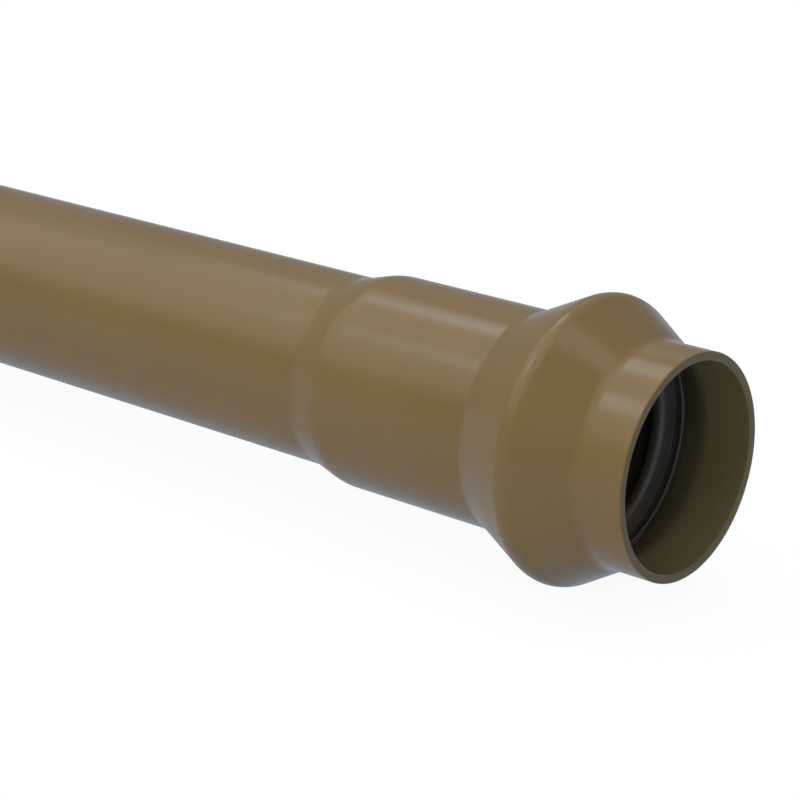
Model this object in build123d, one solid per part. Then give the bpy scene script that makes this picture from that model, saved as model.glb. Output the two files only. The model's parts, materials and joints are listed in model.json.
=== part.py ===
from build123d import *
from math import radians, tan
import os

# A length of PVC pressure pipe with a push-fit socket formed on one end,
# and the rubber sealing ring that sits in the socket's chamber.
# Millimetres. The pipe lies along X. The origin is on the axis at the socket's mouth,
# the mouth opens towards +X, and the spigot end is at the far end, towards -X.

# Pipe stock
PIPE_OD = 60.0
WALL = 2.7
PIPE_LENGTH = 3000.0

# Socket, in order from the mouth: lead-in, ring chamber, seat of the spigot, shoulder
SPIGOT_ROOM = 0.6
LEAD_IN_LENGTH = 15.5
CHAMBER_FRONT_LENGTH = 18.1
CHAMBER_REAR_LENGTH = 22.2
CHAMBER_RISE = 10.7
SEAT_LENGTH = 56.2
SHOULDER_LENGTH = 12.0
MOUTH_CHAMFER = 0.5

# Radii of the bends on the pipe's outside
LEAD_IN_BEND = 7.5
CREST_BEND = 6.3
SEAT_BEND = 5.6
SHOULDER_BEND = 20.0
BARREL_BEND = 16.0

# Bevel on the outside of the spigot end
BEVEL_ANGLE = 15.0
BEVEL_TIP = 1.4

# Rubber ring: a flat-backed body in the chamber's crown, a small wiping rib along its front edge
# and a thick sealing bead, which a spigot squeezes
RING_GAP = 0.15
RING_FRONT_LENGTH = 8.7
RING_REAR_LENGTH = 10.3
RING_BODY_ROOM = 4.5
RING_BODY_HEIGHT = 5.0
RIB_HEIGHT = 1.4
RIB_TIP_WIDTH = 0.9
RIB_FOOT_WIDTH = 1.9
BEAD_OFFSET = 1.6
BEAD_SQUEEZE = 0.6
BEAD_TIP_WIDTH = 4.0
BEAD_FOOT_WIDTH = 6.4
BEAD_BEND = 2.2

# Places that follow from the sizes above
PIPE_RADIUS = PIPE_OD / 2
SOCKET_RADIUS = PIPE_RADIUS + SPIGOT_ROOM + WALL
CREST_RADIUS = SOCKET_RADIUS + CHAMBER_RISE
CHAMBER_START = LEAD_IN_LENGTH
CREST_AT = CHAMBER_START + CHAMBER_FRONT_LENGTH
SEAT_START = CREST_AT + CHAMBER_REAR_LENGTH
SHOULDER_START = SEAT_START + SEAT_LENGTH
BARREL_START = SHOULDER_START + SHOULDER_LENGTH
RING_FRONT = -CREST_AT + RING_FRONT_LENGTH
RING_REAR = -CREST_AT - RING_REAR_LENGTH
RING_BODY_RADIUS = PIPE_RADIUS + RING_BODY_ROOM
RING_BACK_RADIUS = RING_BODY_RADIUS + RING_BODY_HEIGHT
RIB_TIP_RADIUS = RING_BODY_RADIUS - RIB_HEIGHT
BEAD_AT = -CREST_AT + BEAD_OFFSET
BEAD_TIP_RADIUS = PIPE_RADIUS - BEAD_SQUEEZE


def outside_line():
    """The pipe's outside, from the mouth to the spigot end, with its bends rounded."""
    corners = [
        (0, SOCKET_RADIUS),
        (-CHAMBER_START, SOCKET_RADIUS),
        (-CREST_AT, CREST_RADIUS),
        (-SEAT_START, SOCKET_RADIUS),
        (-SHOULDER_START, SOCKET_RADIUS),
        (-BARREL_START, PIPE_RADIUS),
        (-PIPE_LENGTH, PIPE_RADIUS),
    ]
    bends = [LEAD_IN_BEND, CREST_BEND, SEAT_BEND, SHOULDER_BEND, BARREL_BEND]
    return FilletPolyline(*corners, radius=bends)


def make_pipe():
    """The tube with its formed socket, one wall turned about the axis."""
    wall = make_face(offset(outside_line(), WALL, side=Side.LEFT).edges())
    wall = chamfer(wall.vertices().group_by(Axis.X)[-1], MOUTH_CHAMFER)
    bevel_depth = WALL - BEVEL_TIP
    bevel_length = bevel_depth / tan(radians(BEVEL_ANGLE))
    cut_off = Polyline(
        (-PIPE_LENGTH, PIPE_RADIUS - bevel_depth),
        (-PIPE_LENGTH, PIPE_RADIUS),
        (-PIPE_LENGTH + bevel_length, PIPE_RADIUS),
        close=True,
    )
    return revolve(wall - make_face(cut_off), Axis.X)


def ring_section():
    """The ring's outline: a rib on the front edge, a rounded bead and a flat back."""
    front = [
        (RING_FRONT, RING_BACK_RADIUS),
        (RING_FRONT, RIB_TIP_RADIUS),
        (RING_FRONT - RIB_TIP_WIDTH, RIB_TIP_RADIUS),
        (RING_FRONT - RIB_FOOT_WIDTH, RING_BODY_RADIUS),
        (BEAD_AT + BEAD_FOOT_WIDTH / 2, RING_BODY_RADIUS),
    ]
    bead_tip = [
        (BEAD_AT + BEAD_TIP_WIDTH / 2, BEAD_TIP_RADIUS),
        (BEAD_AT - BEAD_TIP_WIDTH / 2, BEAD_TIP_RADIUS),
    ]
    rear = [
        (BEAD_AT - BEAD_FOOT_WIDTH / 2, RING_BODY_RADIUS),
        (RING_REAR, RING_BODY_RADIUS),
        (RING_REAR, RING_BACK_RADIUS),
    ]
    bends = [0] * len(front) + [BEAD_BEND] * len(bead_tip) + [0] * len(rear)
    return make_face(FilletPolyline(front, bead_tip, rear, radius=bends, close=True))


def make_ring():
    """The rubber ring as it lies in the chamber, trimmed to the room inside the pipe's wall."""
    roof = offset(outside_line(), WALL + RING_GAP, side=Side.LEFT, closed=False)
    sides = Polyline(roof @ 0, (-PIPE_LENGTH, 0), (0, 0), roof @ 1)
    room = make_face(roof.edges() + sides.edges())
    return revolve(room & ring_section(), Axis.X)


os.makedirs("parts", exist_ok=True)
export_step(make_pipe(), "parts/pipe.step")
export_step(make_ring(), "parts/seal_ring.step")
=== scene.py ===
import json
import math

import bpy
import numpy as np
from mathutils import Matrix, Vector


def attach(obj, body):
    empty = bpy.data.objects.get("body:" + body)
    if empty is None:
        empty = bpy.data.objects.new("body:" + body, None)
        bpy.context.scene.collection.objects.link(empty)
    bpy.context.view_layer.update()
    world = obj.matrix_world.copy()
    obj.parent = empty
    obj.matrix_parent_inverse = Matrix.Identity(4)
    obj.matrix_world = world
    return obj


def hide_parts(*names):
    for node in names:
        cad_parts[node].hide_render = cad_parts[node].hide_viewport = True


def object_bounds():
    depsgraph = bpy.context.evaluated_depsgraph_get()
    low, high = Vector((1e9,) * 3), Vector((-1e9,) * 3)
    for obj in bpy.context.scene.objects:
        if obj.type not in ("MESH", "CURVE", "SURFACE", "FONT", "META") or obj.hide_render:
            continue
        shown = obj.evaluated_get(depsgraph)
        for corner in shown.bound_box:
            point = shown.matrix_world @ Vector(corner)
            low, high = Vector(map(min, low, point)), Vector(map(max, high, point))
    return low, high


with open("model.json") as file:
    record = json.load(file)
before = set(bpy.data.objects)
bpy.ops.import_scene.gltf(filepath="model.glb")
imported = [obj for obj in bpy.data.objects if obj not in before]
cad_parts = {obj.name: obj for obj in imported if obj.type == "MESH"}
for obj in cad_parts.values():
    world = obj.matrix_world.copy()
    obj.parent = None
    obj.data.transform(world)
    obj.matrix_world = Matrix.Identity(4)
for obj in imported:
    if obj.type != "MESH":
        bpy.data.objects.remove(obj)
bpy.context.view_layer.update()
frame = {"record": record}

# A length of brown PVC pressure pipe with a push-fit socket and its rubber ring,
# on a white studio floor.
# Metres. The pipe lies along X with the socket's mouth at the origin, as in the frame.
MM = 0.001

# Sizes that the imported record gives
mounts = {mount["name"]: mount for mount in frame["record"]["mounts"]}
PIPE_RADIUS = mounts["spigot"]["dims"]["r_mm"] * MM
BORE_RADIUS = mounts["waterway"]["dims"]["r_mm"] * MM
SOCKET_BORE = mounts["socket_mouth"]["dims"]["r_mm"] * MM
PIPE_END = mounts["waterway"]["pos_m"][0]
BEVEL_START = mounts["spigot"]["pos_m"][0]
WALL = PIPE_RADIUS - BORE_RADIUS
SOCKET_RADIUS = SOCKET_BORE + WALL

# Socket, in order from the mouth, and the bends on its outside
LEAD_IN_LENGTH = 15.5 * MM
CHAMBER_FRONT_LENGTH = 18.1 * MM
CHAMBER_REAR_LENGTH = 22.2 * MM
CHAMBER_RISE = 10.7 * MM
SEAT_LENGTH = 56.2 * MM
SHOULDER_LENGTH = 12.0 * MM
LEAD_IN_BEND = 7.5 * MM
CREST_BEND = 6.3 * MM
SEAT_BEND = 5.6 * MM
SHOULDER_BEND = 20.0 * MM
BARREL_BEND = 16.0 * MM
MOUTH_BEND = 0.6 * MM
SPIGOT_BEND = 0.3 * MM
BEVEL_TIP = 1.4 * MM

# Corners of the pipe's outside, from the mouth to the spigot end, before they are rounded
CREST_AT = LEAD_IN_LENGTH + CHAMBER_FRONT_LENGTH
SEAT_START = CREST_AT + CHAMBER_REAR_LENGTH
SHOULDER_START = SEAT_START + SEAT_LENGTH
BARREL_START = SHOULDER_START + SHOULDER_LENGTH
OUTSIDE = [
    (0, SOCKET_RADIUS),
    (-LEAD_IN_LENGTH, SOCKET_RADIUS),
    (-CREST_AT, SOCKET_RADIUS + CHAMBER_RISE),
    (-SEAT_START, SOCKET_RADIUS),
    (-SHOULDER_START, SOCKET_RADIUS),
    (-BARREL_START, PIPE_RADIUS),
    (PIPE_END, PIPE_RADIUS),
]

# Rubber ring
RING_GAP = 0.15 * MM
RING_FRONT_LENGTH = 8.7 * MM
RING_REAR_LENGTH = 10.3 * MM
RING_BODY_ROOM = 4.5 * MM
RING_BODY_HEIGHT = 5.0 * MM
RIB_HEIGHT = 1.4 * MM
RIB_TIP_WIDTH = 0.9 * MM
RIB_FOOT_WIDTH = 1.9 * MM
BEAD_OFFSET = 1.6 * MM
BEAD_SQUEEZE = 0.6 * MM
BEAD_TIP_WIDTH = 4.0 * MM
BEAD_FOOT_WIDTH = 6.4 * MM
BEAD_BEND = 2.2 * MM
RING_EDGE_BEND = 0.25 * MM
RIB_BEND = 0.58 * MM

# Fineness of the turned meshes: steps round the axis, and the longest steps along bends and straight parts
TURN_STEPS = 256
BEND_STEP = math.radians(4)
BEND_CHORD = 0.35 * MM
FEWEST_BEND_STEPS = 2
LONGEST_QUAD = 60 * MM
SHARP_ANGLE = math.radians(35)

# Camera, as fitted to the photograph's outline: view direction, lens and place
CAMERA_AZIMUTH = math.radians(40.524)
CAMERA_ELEVATION = math.radians(19.694)
CAMERA_PLACE = (0.34455, -0.52704, 0.24375)
FOCAL_PIXELS = 2414.897
PHOTO_PIXELS = 800
SENSOR_WIDTH = 36.0
CAMERA_CLIP = (0.01, 100)

# Studio: a white floor, a pale room and soft lamps
# The camera sees the floor mostly as plain white, so that the shadow on it is faint
FLOOR_SIZE = 80
FLOOR_COLOUR = (0.7, 0.7, 0.7, 1)
FLOOR_WHITE = 1.1
FLOOR_WHITE_SHARE = 0.85
FLOOR_REFLECTION = (0.44, 0.52, 0.65, 1)
BACKDROP_COLOUR = (1, 1, 1, 1)
ROOM_COLOUR = (1.0, 0.95, 0.9, 1)
AMBIENT_LIGHT = 0.09
ROOM_REFLECTION = (0.26, 0.29, 0.33, 1)
WHITE = (1, 1, 1)
BLUISH = (0.68, 0.86, 1.0)
# Name, azimuth and elevation in degrees, strength, the angle that the lamp fills in the sky in degrees,
# colour, and whether the lamp shows in gloss
LAMPS = [
    ("front_lamp", -15, 21, 0.63, 36, WHITE, False),
    ("left_lamp", -52, 59, 0.93, 75, WHITE, True),
    ("right_lamp", 42, 30, 0.40, 40, WHITE, False),
    ("mouth_lamp", 72, 18, 0.12, 30, WHITE, True),
    ("top_lamp", 110, 45, 0.28, 30, WHITE, False),
    ("back_lamp", -140, 64, 0.68, 60, WHITE, False),
    ("left_strip_lamp", -122, 50, 0.15, 16, BLUISH, True),
    ("middle_strip_lamp", -55, 52, 0.17, 16, BLUISH, True),
    ("right_strip_lamp", 115, 71, 0.12, 20, WHITE, True),
    ("back_strip_lamp", -144, 33, 0.02, 14, BLUISH, True),
]

# Finish of the PVC and the rubber, and the painted shade on the pipe's inside and end faces
# Scales are noise cells in a metre, and so are the values along the pipe. Values around it are cells in a
# radius, and details are the number of finer layers in the noise.
NOISE_RANGE = (0.3, 0.7)
PIPE_AXIS = (1, 0, 0)
PVC_DARK = (0.232, 0.150, 0.055)
PVC_LIGHT = (0.250, 0.162, 0.061)
# Painted shade and reflection: the inside's greyer olive tone stands in for the dim light and faint
# reflections in the pipe
PVC_INSIDE_PAINTED_SHADE_AND_REFLECTION = (0.195, 0.164, 0.077)
# Painted shade: the darker tone of the end faces stands in for the shade that falls on them
PVC_CUT_PAINTED_SHADE = (0.136, 0.101, 0.041)
OUTWARD_FACING = (-0.4, 0.4)
ENDWARD_FACING = (0.7, 0.95)
PVC_IOR = 1.42
PVC_ROUGHNESS = (0.21, 0.27)
MOTTLE_SCALE = 22
MOTTLE_DETAIL = 3
LINES_ALONG = 4
LINES_AROUND = 16
LINES_DETAIL = 0
LINES_DEPTH = 0.003 * MM
LINES_ROUGHNESS = (-0.015, 0.015)
HAZE_ALONG = 9
HAZE_AROUND = 3
HAZE_DETAIL = 2
GRAIN_SCALE = 1400
GRAIN_DETAIL = 2
GRAIN_DEPTH = 0.0012 * MM
RUBBER_DARK = (0.042, 0.037, 0.032)
RUBBER_DUSTY = (0.064, 0.057, 0.050)
RUBBER_IOR = 1.72
RUBBER_SHINE = 1.0
RUBBER_TINT = (1.0, 0.92, 0.84, 1)
RUBBER_ROUGHNESS = (0.52, 0.62)
DUST_SCALE = 120
DUST_DETAIL = 4
RUBBER_GRAIN_SCALE = 1800
RUBBER_GRAIN_DEPTH = 0.02 * MM


def unit(vector):
    """The vector at length 1."""
    return vector / np.hypot(*vector)


def rounded_corner(before, corner, after, bend):
    """Points of the arc that rounds a corner, from the side of before to the side of after."""
    towards_before = unit(before - corner)
    towards_after = unit(after - corner)
    half_angle = math.acos(np.clip(towards_before @ towards_after, -1, 1)) / 2
    centre = corner + unit(towards_before + towards_after) * bend / math.sin(half_angle)
    reach = bend / math.tan(half_angle)
    start = corner + towards_before * reach - centre
    turn = math.pi - 2 * half_angle
    cross = towards_before[0] * towards_after[1] - towards_before[1] * towards_after[0]
    side = math.copysign(1, cross)
    steps = max(FEWEST_BEND_STEPS, math.ceil(turn / min(BEND_STEP, BEND_CHORD / bend)))
    points = []
    for i in range(steps + 1):
        angle = -side * turn * i / steps
        cosine = math.cos(angle)
        sine = math.sin(angle)
        spoke = (start[0] * cosine - start[1] * sine, start[0] * sine + start[1] * cosine)
        points.append(centre + spoke)
    return points


def rounded_loop(corners, bends):
    """A closed outline through the corners, each rounded by its bend."""
    corners = [np.array(corner, float) for corner in corners]
    points = []
    for i, bend in enumerate(bends):
        points += rounded_corner(corners[i - 1], corners[i], corners[(i + 1) % len(corners)], bend)
    return points


def split_long_edges(points):
    """The same closed outline, with its long straight edges divided."""
    divided = []
    for start, end in zip(points, points[1:] + points[:1]):
        count = max(1, math.ceil(np.hypot(*(end - start)) / LONGEST_QUAD))
        divided += [start + (end - start) * i / count for i in range(count)]
    return divided


def turned(name, outline):
    """A mesh object: the closed outline of (x, radius) points, turned about the X axis."""
    outline = np.array(split_long_edges(outline))
    angles = np.arange(TURN_STEPS) * math.tau / TURN_STEPS
    x = np.repeat(outline[:, :1], TURN_STEPS, axis=1)
    y = np.outer(outline[:, 1], np.cos(angles))
    z = np.outer(outline[:, 1], np.sin(angles))
    points = np.stack([x, y, z], axis=-1)
    index = np.arange(x.size).reshape(x.shape)
    onward = np.roll(index, -1, axis=0)
    quads = np.stack([index, np.roll(index, -1, axis=1), np.roll(onward, -1, axis=1), onward], axis=-1)
    mesh = bpy.data.meshes.new(name)
    mesh.from_pydata(points.reshape(-1, 3).tolist(), [], quads.reshape(-1, 4).tolist())
    mesh.polygons.foreach_set("use_smooth", [True] * len(mesh.polygons))
    mesh.set_sharp_from_angle(angle=SHARP_ANGLE)
    mesh.update()
    piece = bpy.data.objects.new(name, mesh)
    bpy.context.scene.collection.objects.link(piece)
    return piece


def offset_corners(corners, depth):
    """The corners of a line at a depth inside an open line of corners that runs towards -X."""
    corners = [np.array(corner, float) for corner in corners]
    normals = []
    for start, end in zip(corners, corners[1:]):
        along = unit(end - start)
        normals.append(np.array([along[1], -along[0]]))
    inner = [corners[0] - depth * normals[0]]
    for corner, first, second in zip(corners[1:-1], normals, normals[1:]):
        inner.append(corner - depth * (first + second) / (1 + first @ second))
    inner.append(corners[-1] - depth * normals[-1])
    return inner


def point_on(line, coordinate, value):
    """The point of a straight line at which a coordinate, 0 for x or 1 for the radius, has a value."""
    start, end = line
    share = (value - start[coordinate]) / (end[coordinate] - start[coordinate])
    return start + share * (end - start)


def make_pipe():
    """The tube with its formed socket: a wall of even thickness, turned about the axis."""
    inside = offset_corners(OUTSIDE, WALL)
    bends = [LEAD_IN_BEND, CREST_BEND, SEAT_BEND, SHOULDER_BEND, BARREL_BEND]
    inside_bends = [
        LEAD_IN_BEND + WALL,
        CREST_BEND - WALL,
        SEAT_BEND + WALL,
        SHOULDER_BEND - WALL,
        BARREL_BEND + WALL,
    ]
    bevel = [(BEVEL_START, PIPE_RADIUS), (PIPE_END, BORE_RADIUS + BEVEL_TIP)]
    spigot_bends = [SPIGOT_BEND] * (len(bevel) + 1)
    corners = OUTSIDE[:-1] + bevel + inside[::-1]
    loop_bends = [MOUTH_BEND] + bends + spigot_bends + inside_bends[::-1] + [MOUTH_BEND]
    return turned("pipe_body", rounded_loop(corners, loop_bends))


def make_ring():
    """The rubber ring in the chamber: a flat-backed body, a wiping rib and a sealing bead."""
    roof = offset_corners(OUTSIDE, WALL + RING_GAP)
    front_roof = [roof[1], roof[2]]
    rear_roof = [roof[2], roof[3]]
    front = -CREST_AT + RING_FRONT_LENGTH
    rear = -CREST_AT - RING_REAR_LENGTH
    body = PIPE_RADIUS + RING_BODY_ROOM
    back = body + RING_BODY_HEIGHT
    rib_tip = body - RIB_HEIGHT
    bead_at = -CREST_AT + BEAD_OFFSET
    bead_tip = PIPE_RADIUS - BEAD_SQUEEZE
    corners = [
        point_on(front_roof, 0, front),
        point_on(front_roof, 1, back),
        point_on(rear_roof, 1, back),
        point_on(rear_roof, 0, rear),
        (rear, body),
        (bead_at - BEAD_FOOT_WIDTH / 2, body),
        (bead_at - BEAD_TIP_WIDTH / 2, bead_tip),
        (bead_at + BEAD_TIP_WIDTH / 2, bead_tip),
        (bead_at + BEAD_FOOT_WIDTH / 2, body),
        (front - RIB_FOOT_WIDTH, body),
        (front - RIB_TIP_WIDTH, rib_tip),
        (front, rib_tip),
    ]
    tip_bends = {bead_tip: BEAD_BEND, rib_tip: RIB_BEND}
    bends = [tip_bends.get(corner[1], RING_EDGE_BEND) for corner in corners]
    return turned("ring_body", rounded_loop(corners, bends))


def direction(azimuth, elevation):
    """The unit vector towards an azimuth and elevation, where azimuth 0 is -Y and 90 degrees is +X."""
    level = math.cos(elevation)
    return Vector((math.sin(azimuth) * level, -math.cos(azimuth) * level, math.sin(elevation)))


def look_along(item, back):
    """Turns a camera or lamp so that it looks away from the direction at its back."""
    item.rotation_mode = "QUATERNION"
    item.rotation_quaternion = (-back).to_track_quat("-Z", "Y")


class NodeTree:
    """A material's or world's nodes, with short calls for the ones used here."""

    def __init__(self, owner):
        owner.use_nodes = True
        self.nodes = owner.node_tree.nodes
        self.link = owner.node_tree.links.new

    def add(self, kind, **inputs):
        """A node of a kind; each input is a number, a colour or another node's output."""
        node = self.nodes.new("ShaderNode" + kind)
        for name, value in inputs.items():
            self.feed(node.inputs[name.replace("_", " ")], value)
        return node

    def feed(self, socket, value):
        """Links an output to a socket, or sets the socket's own value."""
        if isinstance(value, bpy.types.NodeSocket):
            self.link(value, socket)
        else:
            socket.default_value = value

    def operate(self, kind, operation, values):
        """The outputs of a node that works out an operation on the values."""
        node = self.add(kind)
        node.operation = operation
        for socket, value in zip(node.inputs, values):
            self.feed(socket, value)
        return node.outputs

    def math(self, operation, *values):
        """A number worked out from numbers."""
        return self.operate("Math", operation, values)["Value"]

    def vector(self, operation, *values):
        """A vector worked out from vectors."""
        return self.operate("VectorMath", operation, values)["Vector"]

    def dot(self, first, second):
        """The dot product of two vectors."""
        return self.operate("VectorMath", "DOT_PRODUCT", (first, second))["Value"]

    def noise(self, vector, detail, scale=1):
        """Noise of about 0.5 on average, in the vector's units."""
        return self.add("TexNoise", Vector=vector, Scale=scale, Detail=detail).outputs["Fac"]

    def span(self, value, ends, results=(0, 1)):
        """A number that goes from one result to the other as the value goes from end to end."""
        node = self.add("MapRange", Value=value)
        for name, number in zip(("From Min", "From Max", "To Min", "To Max"), (*ends, *results)):
            node.inputs[name].default_value = number
        return node.outputs["Result"]

    def blend(self, share, first, second):
        """A colour between two, each given as three numbers or as another node's output."""
        node = self.add("MixRGB", Fac=share)
        for name, colour in (("Color1", first), ("Color2", second)):
            written = isinstance(colour, tuple)
            self.feed(node.inputs[name], (*colour, 1) if written else colour)
        return node.outputs["Color"]

    def relief(self, height, depth, **below):
        """The normals of a surface raised by the height, up to a depth, over other relief if any."""
        return self.add("Bump", Height=height, Distance=depth, Strength=1.0, **below).outputs["Normal"]

    def mix(self, share, first, second):
        """One shader node or another, by a share."""
        node = self.add("MixShader", Fac=share)
        self.link(first.outputs[0], node.inputs[1])
        self.link(second.outputs[0], node.inputs[2])
        return node

    def across(self):
        """The direction from the pipe's axis to the surface."""
        place = self.add("TexCoord").outputs["Object"]
        return self.vector("NORMALIZE", self.vector("MULTIPLY", place, (0, 1, 1)))

    def round_the_pipe(self, along, around):
        """Coordinates along the pipe and round it, so that noise in them runs lengthwise."""
        place = self.add("TexCoord").outputs["Object"]
        lengthwise = self.vector("MULTIPLY", place, (along, 0, 0))
        return self.vector("MULTIPLY_ADD", self.across(), (0, around, around), lengthwise)


def pvc_material():
    """Semi-gloss brown rigid PVC, slightly uneven in colour and gloss, with faint die lines along the pipe.

    Inside, a painted greyer olive tone stands for shade and faint reflections; on the end faces, a painted
    darker tone stands for shade.
    """
    material = bpy.data.materials.new("brown_pvc")
    tree = NodeTree(material)
    shader = tree.nodes["Principled BSDF"]
    place = tree.add("TexCoord").outputs["Object"]
    mottle = tree.noise(place, MOTTLE_DETAIL, MOTTLE_SCALE)
    lines = tree.noise(tree.round_the_pipe(LINES_ALONG, LINES_AROUND), LINES_DETAIL)
    haze = tree.noise(tree.round_the_pipe(HAZE_ALONG, HAZE_AROUND), HAZE_DETAIL)
    grain = tree.noise(place, GRAIN_DETAIL, GRAIN_SCALE)
    normal = tree.add("NewGeometry").outputs["Normal"]
    outward = tree.span(tree.dot(normal, tree.across()), OUTWARD_FACING)
    endward = tree.span(tree.math("ABSOLUTE", tree.dot(normal, PIPE_AXIS)), ENDWARD_FACING)
    outside = tree.blend(tree.span(mottle, NOISE_RANGE), PVC_DARK, PVC_LIGHT)
    # Painted shade and reflection on the inward-facing wall
    wall = tree.blend(outward, PVC_INSIDE_PAINTED_SHADE_AND_REFLECTION, outside)
    # Painted shade on the end faces
    tree.link(tree.blend(endward, wall, PVC_CUT_PAINTED_SHADE), shader.inputs["Base Color"])
    haze_roughness = tree.span(haze, NOISE_RANGE, PVC_ROUGHNESS)
    lines_roughness = tree.span(lines, NOISE_RANGE, LINES_ROUGHNESS)
    tree.link(tree.math("ADD", haze_roughness, lines_roughness), shader.inputs["Roughness"])
    shader.inputs["IOR"].default_value = PVC_IOR
    lined = tree.relief(lines, LINES_DEPTH)
    tree.link(tree.relief(grain, GRAIN_DEPTH, Normal=lined), shader.inputs["Normal"])
    return material


def rubber_material():
    """Matt black moulded rubber with a fine grain and slightly uneven dust."""
    material = bpy.data.materials.new("black_rubber")
    tree = NodeTree(material)
    shader = tree.nodes["Principled BSDF"]
    place = tree.add("TexCoord").outputs["Object"]
    dust = tree.noise(place, DUST_DETAIL, DUST_SCALE)
    grain = tree.noise(place, GRAIN_DETAIL, RUBBER_GRAIN_SCALE)
    colour = tree.blend(tree.span(dust, NOISE_RANGE), RUBBER_DARK, RUBBER_DUSTY)
    tree.link(colour, shader.inputs["Base Color"])
    tree.link(tree.span(dust, NOISE_RANGE, RUBBER_ROUGHNESS), shader.inputs["Roughness"])
    shader.inputs["IOR"].default_value = RUBBER_IOR
    shader.inputs["Specular IOR Level"].default_value = RUBBER_SHINE
    shader.inputs["Specular Tint"].default_value = RUBBER_TINT
    tree.link(tree.relief(grain, RUBBER_GRAIN_DEPTH), shader.inputs["Normal"])
    return material


def floor_material():
    """White that takes the object's shadow, and a pale blue floor in reflections."""
    material = bpy.data.materials.new("white_floor")
    tree = NodeTree(material)
    tree.nodes.remove(tree.nodes["Principled BSDF"])
    rays = tree.add("LightPath").outputs
    paint = tree.add("BsdfDiffuse", Color=FLOOR_COLOUR)
    white = tree.add("Emission", Strength=FLOOR_WHITE)
    pale = tree.add("Emission", Color=FLOOR_REFLECTION)
    seen = tree.mix(tree.math("MULTIPLY", rays["Is Camera Ray"], FLOOR_WHITE_SHARE), paint, white)
    mirrored = tree.math("MAXIMUM", rays["Is Glossy Ray"], rays["Is Transmission Ray"])
    floor = tree.mix(mirrored, seen, pale)
    tree.link(floor.outputs[0], tree.nodes["Material Output"].inputs["Surface"])
    material.cycles.emission_sampling = "NONE"
    return material


def dress(piece, node, material):
    """Puts the material on a piece, which stands for a CAD node and rides with it."""
    piece.data.materials.append(material)
    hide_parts(node)
    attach(piece, "root")


def make_floor(height):
    """A wide floor at a height, which belongs to the studio and not to the part."""
    bpy.ops.mesh.primitive_plane_add(size=FLOOR_SIZE, location=(PIPE_END / 2, 0, height))
    floor = bpy.context.object
    floor.name = "floor"
    floor.data.materials.append(floor_material())


def make_world():
    """A pale studio: weak light from all round, a dim room in reflections, and a white backdrop."""
    world = bpy.data.worlds.new("studio")
    bpy.context.scene.world = world
    tree = NodeTree(world)
    rays = tree.add("LightPath").outputs
    ambient = tree.nodes["Background"]
    ambient.inputs["Color"].default_value = ROOM_COLOUR
    ambient.inputs["Strength"].default_value = AMBIENT_LIGHT
    room = tree.add("Background", Color=ROOM_REFLECTION)
    backdrop = tree.add("Background", Color=BACKDROP_COLOUR)
    mirrored = tree.math("MAXIMUM", rays["Is Glossy Ray"], rays["Is Transmission Ray"])
    studio = tree.mix(rays["Is Camera Ray"], tree.mix(mirrored, ambient, room), backdrop)
    tree.link(studio.outputs[0], tree.nodes["World Output"].inputs["Surface"])
    world.cycles.sampling_method = "NONE"


def make_lamp(name, azimuth, elevation, strength, angle, colour, in_gloss):
    """A soft far lamp from a direction in degrees, with the angle that it fills in the sky."""
    data = bpy.data.lights.new(name, "SUN")
    data.energy = strength
    data.color = colour
    data.angle = math.radians(angle)
    lamp = bpy.data.objects.new(name, data)
    bpy.context.scene.collection.objects.link(lamp)
    lamp.visible_glossy = in_gloss
    look_along(lamp, direction(math.radians(azimuth), math.radians(elevation)))


def make_camera():
    """The camera that sees the part as the photograph does."""
    data = bpy.data.cameras.new("camera")
    data.sensor_width = SENSOR_WIDTH
    data.lens = FOCAL_PIXELS / PHOTO_PIXELS * SENSOR_WIDTH
    data.clip_start = CAMERA_CLIP[0]
    data.clip_end = CAMERA_CLIP[1]
    camera = bpy.data.objects.new("camera", data)
    bpy.context.scene.collection.objects.link(camera)
    camera.location = CAMERA_PLACE
    look_along(camera, direction(CAMERA_AZIMUTH, CAMERA_ELEVATION))
    bpy.context.scene.camera = camera


dress(make_pipe(), "pipe", pvc_material())
dress(make_ring(), "seal_ring", rubber_material())
visual_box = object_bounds()
make_floor(visual_box[0].z)
make_world()
for lamp in LAMPS:
    make_lamp(*lamp)
make_camera()
bpy.context.scene.view_settings.view_transform = "Standard"
